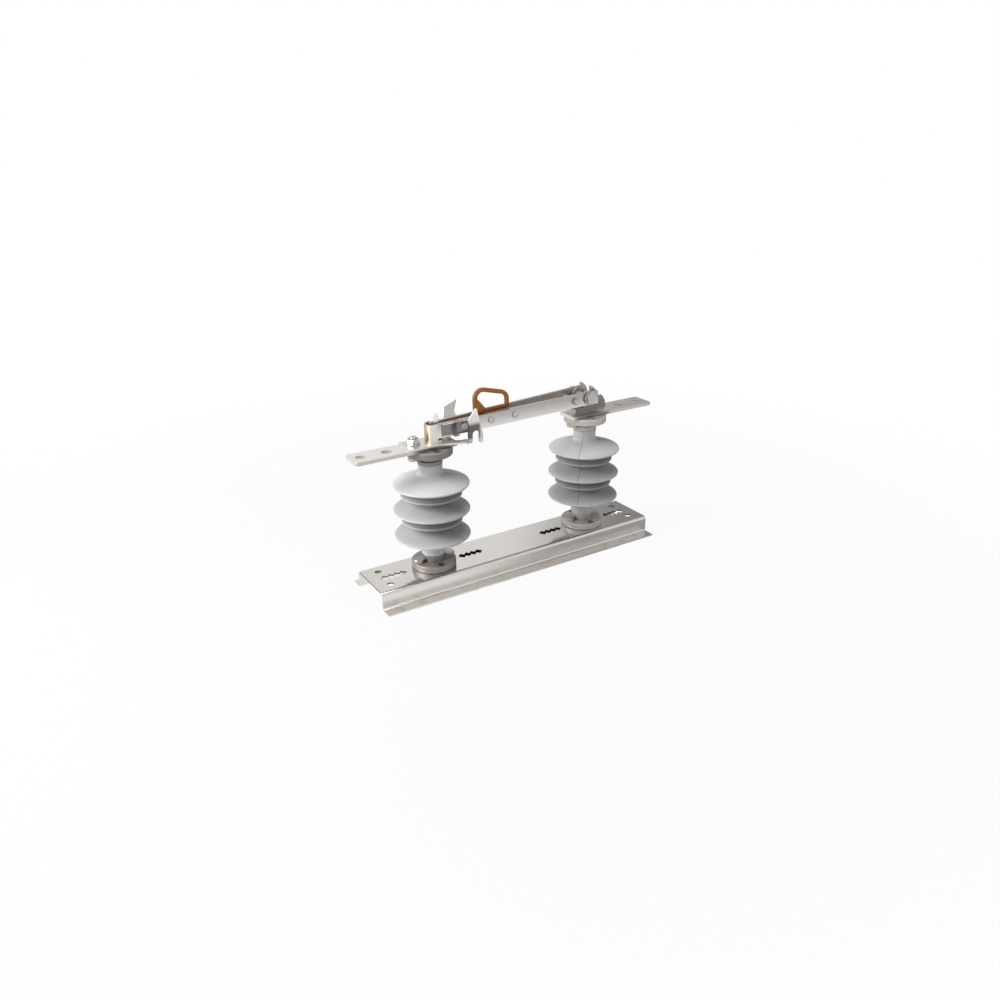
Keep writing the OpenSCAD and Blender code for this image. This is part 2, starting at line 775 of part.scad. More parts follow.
// Half gap between the bars at a distance from the hinge pin
function half_gap(x) = hinge_half_gap - x * tan(splay);

module cross_hole(x, d) {
  translate([-x, 0, 0]) rotate([90, 0, 0]) cylinder(d = d, h = 4 * (hinge_half_gap + bar_t), center = true);
}

module bar_outline() {
  half = bar_depth / 2;
  x0 = -blade_len + bar_nose_r;
  x1 = bar_tail - bar_heel_r;
  translate([x0, -half]) square([x1 - x0, bar_depth]);
  translate([-blade_len, -half + bar_nose_r]) square([bar_nose_r, bar_depth - 2 * bar_nose_r]);
  translate([x1, -half + bar_heel_r]) square([bar_heel_r, bar_depth - 2 * bar_heel_r]);
  for (side = [-1, 1]) {
    translate([x0, side * (half - bar_nose_r)]) circle(bar_nose_r);
    translate([x1, side * (half - bar_heel_r)]) circle(bar_heel_r);
  }
}

// Places children on the middle plane of one bar; side is -1 for the near bar and 1 for the far bar
module at_bar(side) {
  translate([0, side * (hinge_half_gap + bar_t / 2 / cos(splay)), 0]) rotate([0, 0, side * splay]) children();
}

module blade_bar(side) {
  difference() {
    at_bar(side) translate([0, bar_t / 2, 0]) rotate([90, 0, 0]) linear_extrude(bar_t) bar_outline();
    cross_hole(0, pivot_d + 2 * pivot_play);
    for (x = rivet_x) cross_hole(x, rivet_d + 2 * shank_play);
    cross_hole(spacer_x, rivet_d + 2 * shank_play);
    cross_hole(latch_x, latch_pin_d + 2 * shank_play);
  }
}

module blade_bar_near() { color("#c8c6c2") blade_frame() blade_bar(-1); }
module blade_bar_far() { color("#b9aa97") blade_frame() blade_bar(1); }

// Pressed clip on the outside of each bar, with its upper and lower edges turned out
module blade_clips() {
  length = clip_x0 - clip_x1;
  half = bar_depth / 2 - clip_inset;
  foot = bar_t / 2 + head_gap;
  color("#8f8d8a") blade_frame() for (side = [-1, 1]) difference() {
    at_bar(side) mirror([0, side < 0 ? 1 : 0, 0]) translate([-clip_x0, foot, 0]) {
      translate([0, 0, -half]) cube([length, clip_t, 2 * half]);
      translate([0, 0, half - clip_t]) cube([length, clip_edge, clip_t]);
      translate([0, 0, -half]) cube([length, clip_edge, clip_t]);
    }
    cross_hole(latch_x, latch_pin_d + 2 * shank_play);
  }
}

// Distance from the blade's middle plane to the seat of a head that is d across
function head_seat(x, d) = half_gap(x) + bar_t + d / 2 * tan(splay) + head_gap;

// Pin across both bars with a round head outside each; under is what lies between bar and head
module cross_pin(x, d, head_d, head_h, under = 0) {
  out = head_seat(x, head_d) + under;
  edge = head_h / 3;
  translate([-x, -out - head_h, 0]) rotate([-90, 0, 0]) rotate_extrude()
    polygon([
      [0, 0], [head_d / 2 - edge, 0], [head_d / 2, edge], [head_d / 2, head_h], [d / 2, head_h],
      [d / 2, head_h + 2 * out], [head_d / 2, head_h + 2 * out],
      [head_d / 2, 2 * head_h + 2 * out - edge], [head_d / 2 - edge, 2 * head_h + 2 * out],
      [0, 2 * head_h + 2 * out]
    ]);
}

// Sleeve between the bars
module cross_sleeve(x, d, bore) {
  half = half_gap(x) - d / 2 * tan(splay) - head_gap;
  translate([-x, -half, 0]) rotate([-90, 0, 0]) washer(d, bore, 2 * half);
}

// Bolt across both bars: a hex head on a round face at the near side, a nut at the far side
module blade_spacer_bolt() {
  face_d = spacer_af * 1.3;
  face_t = washer_t / 2;
  out = head_seat(spacer_x, face_d);
  bore = rivet_d + 2 * shank_play;
  color("#b0ada8") blade_frame() {
    translate([-spacer_x, -out, 0]) rotate([-90, 0, 0]) {
      cylinder(d = rivet_d, h = 2 * out + face_t + spacer_head_h + bolt_proud / 2);
      mirror([0, 0, 1]) cylinder(d = face_d, h = face_t);
      translate([0, 0, -face_t]) mirror([0, 0, 1]) hex_head(spacer_af, spacer_head_h);
    }
    translate([-spacer_x, out, 0]) rotate([-90, 0, 0]) {
      washer(face_d, bore, face_t);
      translate([0, 0, face_t]) hex_nut(spacer_af, spacer_head_h, bore);
    }
    cross_sleeve(spacer_x, rivet_head_d, bore);
  }
}

module blade_rivets() {
  color("#b0ada8") blade_frame() for (x = rivet_x) {
    cross_pin(x, rivet_d, rivet_head_d, rivet_head_h);
    cross_sleeve(x, rivet_head_d, rivet_d + 2 * shank_play);
  }
}

module latch_pin() {
  color("#8f8d8a") blade_frame() cross_pin(latch_x, latch_pin_d, rivet_head_d, rivet_head_h, clip_seat);
}

// Pull ring

// Ring outline pulled in by inset, with a gusset across its lower corner next to the lever
module ring_outline(inset, gusset) {
  x0 = ring_start + inset;
  x1 = ring_start + ring_len - inset;
  z0 = ring_foot + inset;
  r = ring_corner_r - inset;
  low = [x1 - r, ring_low - inset - r];
  tall = [x0 + r, ring_tall - inset - r];
  top_angle = 90 - atan((tall[1] - low[1]) / (low[0] - tall[0]));
  polygon(concat(
    [[x0 + gusset, z0], [x1, z0]],
    arc(low, r, 0, top_angle),
    arc(tall, r, top_angle, 180)
  ));
}

// Lever from the latch pin to the ring, between the bars; its ends lie inside the eye and the ring
module lever_outline() {
  eye = 0.95 * lever_eye_r;
  polygon([
    eye * [0, 1],
    [ring_start - 0.4 * ring_w, eye],
    [ring_start + 1.2 * ring_w, ring_foot + 1.5 * ring_w],
    [ring_start + 3.4 * ring_w, ring_foot + 0.2 * ring_w],
    [ring_start, ring_foot - 1.3 * ring_w],
    eye * [cos(73), -sin(73)]
  ]);
}

// Tooth at the bars' lower edge
module tooth_outline() {
  eye = 0.95 * lever_eye_r;
  polygon([
    eye * [-cos(18), -sin(18)],
    [-tooth_reach, tooth_cut - tooth_drop], [tooth_cut - tooth_reach, -tooth_drop],
    [tooth_w - tooth_reach, -tooth_drop],
    eye * [cos(54), -sin(54)],
    [0, 0]
  ]);
}

module pull_ring() {
  color("#96602f")
  blade_frame() translate([-latch_x, ring_t / 2, 0]) rotate([90, 0, 0])
    difference() {
      union() {
        linear_extrude(ring_t) ring_outline(0, 0);
        linear_extrude(ring_t) lever_outline();
        linear_extrude(ring_t) tooth_outline();
        cylinder(r = lever_eye_r, h = ring_t);
      }
      translate([0, 0, -1]) linear_extrude(ring_t + 2) ring_outline(ring_w, ring_gusset);
      translate([0, 0, -1]) cylinder(d = latch_pin_d + 2 * pivot_play, h = ring_t + 2);
    }
}

base_channel();
jaw_post_bottom_fitting();
jaw_post_rubber();
jaw_post_top_fitting();
hinge_post_bottom_fitting();
hinge_post_rubber();
hinge_post_top_fitting();
jaw_post_base_bolts();
jaw_post_base_nuts();
hinge_post_base_bolts();
hinge_post_base_nuts();
jaw_terminal();
jaw_stud_bolt();
jaw_stud_washer();
jaw_stud_nut();
jaw_low_bolt();
jaw_low_nut();
hook_bracket();
jaw_strap();
jaw_tongue();
hinge_terminal();
hinge_flange_bolts();
hinge_flange_washers();
hinge_flange_nuts();
hinge_bracket();
hinge_pin();
hinge_pin_washers();
hinge_pin_nut();
blade_bar_near();
blade_bar_far();
blade_spacer_bolt();
blade_rivets();
blade_clips();
latch_pin();
pull_ring();
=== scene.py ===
# %% [markdown]
# A disconnect switch for an overhead line stands on its own sheet channel. Two silicone posts carry
# the jaw and the hinge, and a blade of two flat bars closes between them.
# The sizes come from a packed CAD model, so this lesson starts by loading it and then only adds
# looks: broken edges, threads, mould seams, collars, finishes, a floor, lights and a camera.

# %% Load the switch
import json
import math

import bmesh
import bpy
from mathutils import Matrix, Vector

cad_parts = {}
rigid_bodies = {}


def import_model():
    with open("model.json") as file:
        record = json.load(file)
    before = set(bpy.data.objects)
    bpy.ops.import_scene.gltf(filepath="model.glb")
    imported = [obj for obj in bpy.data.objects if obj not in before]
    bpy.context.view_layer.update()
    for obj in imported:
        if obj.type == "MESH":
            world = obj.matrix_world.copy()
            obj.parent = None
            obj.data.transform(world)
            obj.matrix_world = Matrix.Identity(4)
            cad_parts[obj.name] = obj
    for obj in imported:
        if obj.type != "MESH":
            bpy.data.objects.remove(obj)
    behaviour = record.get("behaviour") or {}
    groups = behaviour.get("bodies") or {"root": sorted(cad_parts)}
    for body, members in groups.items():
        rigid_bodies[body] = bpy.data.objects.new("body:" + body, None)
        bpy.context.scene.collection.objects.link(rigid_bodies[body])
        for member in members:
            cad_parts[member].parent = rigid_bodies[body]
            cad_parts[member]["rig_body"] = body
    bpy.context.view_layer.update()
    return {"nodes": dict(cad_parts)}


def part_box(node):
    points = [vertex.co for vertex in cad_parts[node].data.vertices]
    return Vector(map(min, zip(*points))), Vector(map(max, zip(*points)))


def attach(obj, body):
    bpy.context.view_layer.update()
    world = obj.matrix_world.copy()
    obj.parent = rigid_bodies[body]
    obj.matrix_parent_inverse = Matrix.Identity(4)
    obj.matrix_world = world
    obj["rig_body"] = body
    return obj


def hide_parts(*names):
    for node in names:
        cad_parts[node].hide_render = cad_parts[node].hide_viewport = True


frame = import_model()
mm = 0.001

# %% [markdown]
# The photograph was taken from the jaw end, a little above the blade. A camera can be placed by
# eye, but here its place was worked out from the channel's corners and the posts, so it is written
# as numbers: a place, an angle round the switch, an angle above the floor and a slight roll.

# %% Camera
camera_place = Vector((-744.9, -1150.9, 705.8)) * mm
turn, lift, roll = (math.radians(a) for a in (-32.0565, 23.3047, -0.3723))
back = Vector((math.sin(turn) * math.cos(lift), -math.cos(turn) * math.cos(lift), math.sin(lift)))
right = Vector((math.cos(turn), math.sin(turn), 0))
up = back.cross(right)
rolled_right = math.cos(roll) * right + math.sin(roll) * up
rolled_up = math.cos(roll) * up - math.sin(roll) * right
facing = Matrix((rolled_right, rolled_up, back)).transposed().to_4x4()
eye = bpy.data.cameras.new("eye")
eye.sensor_width = 36
eye.lens = 29.975
eye.clip_start = 0.05
camera = bpy.data.objects.new("camera", eye)
bpy.context.scene.collection.objects.link(camera)
camera.matrix_world = Matrix.Translation(camera_place) @ facing
bpy.context.scene.camera = camera
print("camera stands", round(camera.location.length, 3), "m from the middle of the channel")

# %% [markdown]
# A finish is a little network of nodes. Its masks are sums: written node by node they are long and
# hard to read. One small class wraps an output socket and lets Python's own signs add the Math
# nodes, also with the number first, so that 1 - mask is a Subtract node.

# %% Sockets with arithmetic
class Wire:
    """One output socket of a network, with arithmetic on its values."""

    def __init__(self, network, socket):
        self.network = network
        self.socket = socket

    def __add__(self, other):
        return self.network.maths("ADD", self, other)

    def __radd__(self, other):
        return self.network.maths("ADD", other, self)

    def __sub__(self, other):
        return self.network.maths("SUBTRACT", self, other)

    def __rsub__(self, other):
        return self.network.maths("SUBTRACT", other, self)

    def __mul__(self, other):
        return self.network.maths("MULTIPLY", self, other)

    def __rmul__(self, other):
        return self.network.maths("MULTIPLY", other, self)

    def __pow__(self, other):
        return self.network.maths("POWER", self, other)

    def __abs__(self):
        return self.network.maths("ABSOLUTE", self, 0.0)


print("signs that add Math nodes: + - * ** abs")

# %% [markdown]
# Every other node could be added by hand in the shader editor. In a script one method is enough: it
# takes the node's type, its settings and what goes into its sockets, and hands back a wire.
# A soft step from 0 to 1 is the most common mask, so rise and fall have methods of their own.

# %% A network in the making
class Network:
    """A node tree whose nodes are made as they are asked for."""

    def __init__(self, tree):
        self.tree = tree
        tree.nodes.clear()

    def feed(self, socket, value):
        if isinstance(value, Wire):
            self.tree.links.new(value.socket, socket)
        else:
            socket.default_value = value

    def node(self, kind, settings=(), inputs=(), out=0):
        made = self.tree.nodes.new(kind)
        for key, value in dict(settings).items():
            setattr(made, key, value)
        for key, value in dict(inputs).items():
            self.feed(made.inputs[key], value)
        return Wire(self, made.outputs[out]) if made.outputs else None

    def maths(self, operation, first, second):
        return self.node("ShaderNodeMath", {"operation": operation}, {0: first, 1: second})

    def parts(self, vector):
        return [self.node("ShaderNodeSeparateXYZ", {}, {0: vector}, out=i) for i in range(3)]

    def rise(self, value, low, high):
        soft = {"interpolation_type": "SMOOTHSTEP"}
        return self.node("ShaderNodeMapRange", soft, {0: value, 1: low, 2: high})

    def fall(self, value, low, high):
        return 1 - self.rise(value, low, high)

    def ray(self, kind):
        return self.node("ShaderNodeLightPath", out="Is " + kind + " Ray")


print("a network has", [name for name in vars(Network) if not name.startswith("_")])

# %% [markdown]
# A material adds colours, noise and bumps to that. The coordinates are the object's own, and every
# piece keeps its origin at the switch's own zero, so one metre means the same on all of them and a
# stain can be placed by its height or its distance from a post.

# %% A finish in the making
class Finish(Network):
    """The network of a material, laid out in the switch's own space."""

    def __init__(self, name):
        self.material = bpy.data.materials.new(name)
        self.material.use_nodes = True
        super().__init__(self.material.node_tree)
        self.place = self.node("ShaderNodeTexCoord", out="Object")
        self.x, self.y, self.z = self.parts(self.place)

    def facing_up(self):
        return self.parts(self.node("ShaderNodeNewGeometry", out="Normal"))[2]

    def noise(self, scale, detail, stretch=(1, 1, 1)):
        stretched = {0: self.place, 1: stretch}
        spot = self.node("ShaderNodeVectorMath", {"operation": "MULTIPLY"}, stretched)
        sockets = {"Vector": spot, "Scale": scale, "Detail": detail, "Roughness": 0.55}
        return self.node("ShaderNodeTexNoise", {}, sockets)

    def blend(self, first, second, amount):
        first, second = (c if isinstance(c, Wire) else (*c, 1) for c in (first, second))
        mixed = {0: amount, 6: first, 7: second}
        return self.node("ShaderNodeMix", {"data_type": "RGBA"}, mixed, out=2)

    def bump(self, height, depth, strength):
        sockets = {"Height": height, "Distance": depth, "Strength": strength}
        return self.node("ShaderNodeBump", {}, sockets)

    def painted(self, **sockets):
        named = {key.replace("_", " "): value for key, value in sockets.items()}
        return self.node("ShaderNodeBsdfPrincipled", {}, named)

    def close(self, shader):
        self.node("ShaderNodeOutputMaterial", {}, {"Surface": shader})
        return self.material

    def surface(self, **sockets):
        return self.close(self.painted(**sockets))


print("a finish adds", [name for name in vars(Finish) if not name.startswith("_")])

# %% [markdown]
# The channel is bright stainless sheet, polished enough to mirror the flanges that stand on it.
# Such a metal is nearly all reflection, so its look comes from fine rolling lines along the sheet,
# faint smears that dull the mirror here and there, and a little grime low down on the lips.
# Its flanks are duller than its top and painted paler towards the jaw, a painted reflection, and
# the cut edges of the punched slots and holes are painted dark as shade. The edges are found by
# their normal, which needs no second material.

# %% Bright sheet
sheet_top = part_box("base_channel")[1].z


def bright_sheet():
    f = Finish("bright_sheet")
    clean, hazy = (0.66, 0.64, 0.615), (0.61, 0.585, 0.555)
    flank_reflection, edge_shade = (0.72, 0.695, 0.665), (0.09, 0.085, 0.08)
    dirt, speck = (0.34, 0.31, 0.275), (0.38, 0.35, 0.32)
    cloud = f.noise(9, 5)
    lines = f.noise(60, 3, (0.05, 6, 6))
    smear = f.rise(f.noise(16, 6, (0.5, 1, 1)), 0.52, 0.78)
    grime = f.fall(f.z, 0.5 * mm, 6 * mm) * f.rise(f.noise(45, 6), 0.5, 0.75)
    specks = f.rise(f.noise(520, 2), 0.72, 0.8)
    flank = f.fall(f.z, sheet_top - 7 * mm, sheet_top - 3 * mm)
    jaw_end = f.fall(f.x, -0.25, 0.12)
    upright = f.fall(abs(f.facing_up()), 0.3, 0.7)
    # painted shade: the cut edges of the slots and holes are painted nearly black
    cut_edge_shade = upright * f.fall(abs(f.y), 40 * mm, 44 * mm) * (1 - flank)
    colour = f.blend(clean, hazy, cloud)
    # painted reflection: the flanks are painted paler towards the jaw end
    colour = f.blend(colour, flank_reflection, flank * jaw_end)
    colour = f.blend(colour, edge_shade, cut_edge_shade * 0.9)
    colour = f.blend(colour, dirt, grime * 0.4)
    colour = f.blend(colour, speck, specks * 0.3)
    mirror = 0.085 + 0.12 * flank + 0.02 * smear + 0.02 * lines
    rough = mirror + 0.15 * grime + 0.4 * cut_edge_shade
    relief = f.bump(lines + 0.5 * cloud, 0.03 * mm, 0.03)
    return f.surface(Base_Color=colour, Roughness=rough, Metallic=1.0, Normal=relief)


sheet_finish = bright_sheet()
print("made", sheet_finish.name)

# %% [markdown]
# The flanges are coated castings. Their skin is satin and a little grainy, and it is painted darker
# in the corner where the ferrule rises. The distance from the post's axis is worked out from the
# object's own coordinates, so the darker ring needs no picture.
# The jaw's castings are painted darker than the hinge's, a painted shade, and the one under the jaw
# itself darkest, as painted shade under the jaw. The hinge post's collar is paler, bare metal. One
# function makes all four from two colours each.

# %% Coated casting
post_x = sum(c.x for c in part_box("hinge_post_rubber")) / 2


def distance(f, centre_x):
    out = abs(f.x) - centre_x
    return (out * out + f.y * f.y) ** 0.5


def coated_casting(name, pale, deep):
    f = Finish(name)
    corner_dark, rust = (0.27, 0.24, 0.21), (0.31, 0.265, 0.225)
    reach = distance(f, post_x)
    cloud = f.noise(26, 5)
    grain = f.noise(700, 3)
    corner = f.rise(reach, 17 * mm, 18.6 * mm) * f.fall(reach, 19.5 * mm, 24 * mm)
    stain = f.rise(f.noise(60, 6), 0.55, 0.78)
    colour = f.blend(pale, deep, cloud)
    # the corner where the ferrule rises is painted darker
    colour = f.blend(colour, corner_dark, corner * (0.2 + 0.4 * cloud))
    colour = f.blend(colour, rust, stain * 0.35)
    rough = 0.40 + 0.16 * cloud + 0.15 * stain
    relief = f.bump(grain + 2 * cloud, 0.06 * mm, 0.5)
    return f.surface(Base_Color=colour, Roughness=rough, Metallic=0.5, Normal=relief)


# painted shade: the jaw's castings are darker than the hinge's, and the top one, under the jaw,
# darkest
jaw_casting_finish = coated_casting("jaw_casting", (0.34, 0.313, 0.29), (0.275, 0.253, 0.235))
hinge_casting_finish = coated_casting("hinge_casting", (0.63, 0.585, 0.55), (0.53, 0.495, 0.46))
jaw_top_shade_finish = coated_casting("jaw_top_casting", (0.29, 0.265, 0.25), (0.235, 0.215, 0.20))
collar_finish = coated_casting("crimped_collar", (0.66, 0.655, 0.66), (0.56, 0.555, 0.56))
for finish in (jaw_casting_finish, hinge_casting_finish, jaw_top_shade_finish, collar_finish):
    print("made", finish.name)

# %% [markdown]
# Silicone rubber is matt and a cool light grey. The thin rims of the sheds let some light through
# and look paler, the necks are bluish and cleaner, and a fine dust lies on faces that look up.
# The lower sheds are painted greyer, a painted shade from the sheds above, a little less at the
# hinge, and the small sheds, deepest in that shade, are painted the darkest. Real light through the
# rubber would be slow to render, so the rims are simply painted paler. The mould seam is the same
# rubber in a much darker tone.

# %% Silicone rubber
post_mid = sum(c.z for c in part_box("hinge_post_rubber")) / 2
small_sheds = (post_mid + 32 * mm, post_mid - 14 * mm)


def silicone(name, tone):
    f = Finish(name)
    greys = (0.64, 0.65, 0.65), (0.58, 0.59, 0.59), (0.36, 0.365, 0.365), (0.30, 0.305, 0.305)
    fresh, aged, lower_shade_grey, small_shed_shade = ([part * tone for part in grey] for grey in greys)
    dusty, wet_trace = (0.62, 0.61, 0.58), (0.40, 0.41, 0.41)
    thin_rim, blue_neck = (0.74, 0.75, 0.75), (0.68, 0.705, 0.74)
    reach = distance(f, post_x)
    upward = f.facing_up()
    cloud = f.noise(20, 5)
    fine = f.noise(900, 2)
    rim = f.fall(abs(upward), 0.3, 0.85) * f.rise(reach, 32 * mm, 38 * mm)
    neck = f.fall(reach, 21 * mm, 27 * mm)
    dust = f.rise(upward, 0.25, 0.95) * f.rise(f.noise(34, 6), 0.4, 0.75)
    drip = f.rise(f.noise(70, 4, (1, 1, 0.12)), 0.58, 0.78)
    # painted shade: the small sheds are painted darkest
    first, second = (f.fall(abs(f.z - level), 8 * mm, 10 * mm) for level in small_sheds)
    small = first + second
    at_hinge = f.rise(f.x, -0.05, 0.05)
    # painted shade: the lower sheds are painted greyer, a little less at the hinge
    lower = f.fall(f.z, post_mid + 20 * mm, post_mid + 42 * mm) * (0.54 - 0.12 * at_hinge)
    colour = f.blend(fresh, aged, cloud)
    colour = f.blend(colour, dusty, dust * (0.15 * tone))
    colour = f.blend(colour, wet_trace, drip * 0.22)
    colour = f.blend(colour, lower_shade_grey, lower * (0.8 + 0.4 * cloud))
    colour = f.blend(colour, small_shed_shade, small * 0.65)
    colour = f.blend(colour, thin_rim, rim * (1 - 0.5 * small) * (0.42 * tone))
    colour = f.blend(colour, blue_neck, neck * (0.75 * tone))
    rough = 0.50 + 0.16 * cloud + 0.12 * dust
    relief = f.bump(fine + 3 * cloud, 0.05 * mm, 0.4)
    return f.surface(Base_Color=colour, Roughness=rough, Metallic=0.0, Normal=relief)


rubber_finish = silicone("silicone_rubber", 1.0)
seam_finish = silicone("silicone_seam", 0.3)
print("made", rubber_finish.name, seam_finish.name)

# %% [markdown]
# Bolts, nuts and washers are stainless too, but turned and rolled, so they are duller than the
# sheet and each shows small dark stains. One finish serves them all, because its noise is laid out
# in the switch's own space and so falls differently on each bolt.

# %% Fastener steel
def fastener_steel():
    f = Finish("fastener_steel")
    smooth_steel, rolled_steel = (0.54, 0.51, 0.475), (0.43, 0.40, 0.365)
    tarnish = (0.34, 0.28, 0.215)
    cloud = f.noise(70, 5)
    scuff = f.rise(f.noise(240, 5), 0.52, 0.7)
    stain = f.rise(f.noise(55, 6), 0.56, 0.75)
    colour = f.blend(smooth_steel, rolled_steel, cloud)
    colour = f.blend(colour, tarnish, stain * 0.4)
    rough = 0.34 + 0.12 * cloud + 0.14 * scuff
    relief = f.bump(scuff + cloud, 0.03 * mm, 0.5)
    return f.surface(Base_Color=colour, Roughness=rough, Metallic=1.0, Normal=relief)


bolt_finish = fastener_steel()
print("made", bolt_finish.name)

# %% [markdown]
# The two terminal bars and the blade are copper bars plated with tin. Tin is pale and satin, drawn
# along the bar, and where a lug was bolted down or a bar rubs, the copper starts to show brown.
# The brown rings lie at the terminal holes, so their places are measured from the bar's end, and
# the terminals' side faces are painted darker as shade, most of all above the flange. The near bar
# is rubbed paler towards its low edge, the far bar is browned and dull, and the jaw's tongue is the
# brightest.
# One function makes all four, with a setting for each of these.

# %% Tin plate
bar_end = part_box("hinge_terminal")[1].x
hole_inset, hole_pitch = 17 * mm, 44.5 * mm
hole_places = (bar_end - hole_inset, bar_end - hole_inset - hole_pitch)
bar_low, bar_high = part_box("blade_bar_near")


def tin_plate(name, pale, deep, brown, dull, metal=0.9, terminal=False, fade=0.0):
    f = Finish(name)
    rubbed, scratched = (0.90, 0.885, 0.87), (0.86, 0.85, 0.82)
    side_shade, flange_shade = (0.42, 0.395, 0.365), (0.14, 0.125, 0.11)
    cloud = f.noise(14, 5)
    drawn = f.noise(110, 3, (0.06, 3, 3))
    worn = f.rise(f.noise(38, 6, (0.5, 1, 1)), 0.56, 0.76) * 0.35
    scratch = f.rise(f.noise(300, 2, (0.03, 1, 1)), 0.66, 0.74)
    colour = f.blend(pale, deep, cloud)
    if fade:
        low_edge = f.fall(f.z, bar_low.z - 4 * mm, bar_high.z - 3 * mm)
        colour = f.blend(colour, rubbed, low_edge * fade)
    if terminal:
        for place in hole_places:
            worn = worn + f.fall(distance(f, place), 7 * mm, 11 * mm) * (0.35 + 0.6 * cloud)
    colour = f.blend(colour, brown, worn * 0.75)
    if terminal:
        # painted shade: the side faces are painted darker, most of all above the flange
        side = f.rise(abs(f.y), 21.3 * mm, 21.9 * mm)
        at_flange = f.fall(abs(abs(f.x) - post_x), 30 * mm, 46 * mm)
        colour = f.blend(colour, side_shade, side * 0.6)
        colour = f.blend(colour, flange_shade, at_flange * side * 0.8)
    colour = f.blend(colour, scratched, scratch * 0.2)
    rough = dull + 0.08 * cloud + 0.06 * drawn + 0.12 * worn
    relief = f.bump(drawn + cloud, 0.03 * mm, 0.1)
    return f.surface(Base_Color=colour, Roughness=rough, Metallic=metal, Normal=relief)


terminal_finish = tin_plate(
    "tinned_terminal", (0.77, 0.745, 0.71), (0.68, 0.65, 0.61), (0.40, 0.31, 0.22),
    dull=0.26, terminal=True,
)
near_bar_finish = tin_plate(
    "tinned_near_bar", (0.42, 0.405, 0.39), (0.36, 0.345, 0.33), (0.33, 0.285, 0.24),
    dull=0.14, fade=0.75,
)
far_bar_finish = tin_plate(
    "browned_far_bar", (0.47, 0.415, 0.36), (0.40, 0.35, 0.30), (0.33, 0.26, 0.20),
    dull=0.38, metal=0.5,
)
tongue_finish = tin_plate(
    "tinned_tongue", (0.88, 0.87, 0.85), (0.80, 0.79, 0.765), (0.60, 0.55, 0.48),
    dull=0.16,
)
for finish in (terminal_finish, near_bar_finish, far_bar_finish, tongue_finish):
    print("made", finish.name)

# %% [markdown]
# The hook bracket is bright sheet like the channel, but handled more: its plate is dulled, its legs
# are smeared, and its two horns are painted almost white, a painted reflection of the white room.
# The near hook plate has a dark band between its horn and its feet, a painted shade. All of it is
# one bent sheet, so heights above the terminal, the side and the distance along it tell the zones
# apart, and one finish is enough. The far horn is made rougher, or it would mirror the brown blade.

# %% Bracket sheet
terminal_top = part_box("jaw_terminal")[1].z
plate_level, leg_level, horn_level = (terminal_top + h * mm for h in (3, 5, 16))
band_end = 74 * mm - post_x


def bracket_sheet():
    f = Finish("bracket_sheet")
    clean, hazy, dulled = (0.60, 0.575, 0.545), (0.52, 0.495, 0.465), (0.74, 0.72, 0.69)
    smeared, band_shade, rubbed = (0.34, 0.28, 0.225), (0.08, 0.077, 0.073), (0.97, 0.965, 0.955)
    cloud = f.noise(30, 5)
    drawn = f.noise(90, 3, (3, 3, 0.1))
    smear = f.rise(f.noise(48, 6), 0.48, 0.72)
    near = f.fall(f.y, -6 * mm, 6 * mm)
    flat = f.fall(f.z, plate_level, plate_level + 4 * mm)
    horn = f.rise(f.z - 14 * mm * near, horn_level, horn_level + 12 * mm)
    leg = f.rise(f.z, leg_level, leg_level + 8 * mm) * (1 - horn)
    # painted shade: a dark band on the near hook plate between its horn and feet
    band = leg * f.fall(f.x, band_end - 6 * mm, band_end) * near
    colour = f.blend(clean, hazy, cloud)
    colour = f.blend(colour, dulled, flat * 0.7)
    colour = f.blend(colour, smeared, smear * 0.3 * (1 - horn))
    colour = f.blend(colour, band_shade, band * 0.9)
    # painted reflection: the horns are painted almost white
    colour = f.blend(colour, rubbed, horn * (0.85 + 0.15 * cloud))
    rough = 0.15 + 0.10 * smear + 0.05 * drawn + 0.2 * flat + 0.5 * horn * (1 - near)
    metal = 0.95 - 0.55 * near * horn
    relief = f.bump(drawn + cloud, 0.03 * mm, 0.3)
    return f.surface(Base_Color=colour, Roughness=rough, Metallic=metal, Normal=relief)


bracket_finish = bracket_sheet()
print("made", bracket_finish.name)

# %% [markdown]
# The hinge's cheeks are plated castings, painted dark and grey down by the terminal as the shade
# under the blade's bars, and painted paler up at the fins, which stand in the light. A smooth
# change with height gives both.

# %% Hinge plate
cheek_foot, fin_top = (corner.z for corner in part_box("hinge_bracket"))


def hinge_plate():
    f = Finish("hinge_plate")
    dark, darker = (0.21, 0.20, 0.19), (0.155, 0.148, 0.138)
    lit_fin, tarnish = (0.50, 0.485, 0.47), (0.23, 0.20, 0.165)
    cloud = f.noise(34, 5)
    grain = f.noise(500, 3)
    stain = f.rise(f.noise(64, 6), 0.5, 0.74)
    colour = f.blend(dark, darker, cloud)
    # painted shade and light: dark low down under the bars, paler up at the fins
    fin = f.rise(f.z, cheek_foot + 18 * mm, fin_top - 6 * mm)
    colour = f.blend(colour, lit_fin, fin * 0.8)
    colour = f.blend(colour, tarnish, stain * 0.4)
    rough = 0.32 + 0.16 * cloud + 0.12 * stain
    relief = f.bump(grain + cloud, 0.04 * mm, 0.5)
    return f.surface(Base_Color=colour, Roughness=rough, Metallic=0.9, Normal=relief)


hinge_finish = hinge_plate()
print("made", hinge_finish.name)

# %% [markdown]
# A pressed clip lies on the outside of each bar at the jaw. Its face is dark, and its long edges
# are painted bright as a highlight. Both edges lie half the clip's height away from its middle, so
# one mask by that distance finds them both.

# %% Pressed clip
clip_low, clip_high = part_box("blade_clips")
clip_middle, clip_reach = (clip_low.z + clip_high.z) / 2, (clip_high.z - clip_low.z) / 2


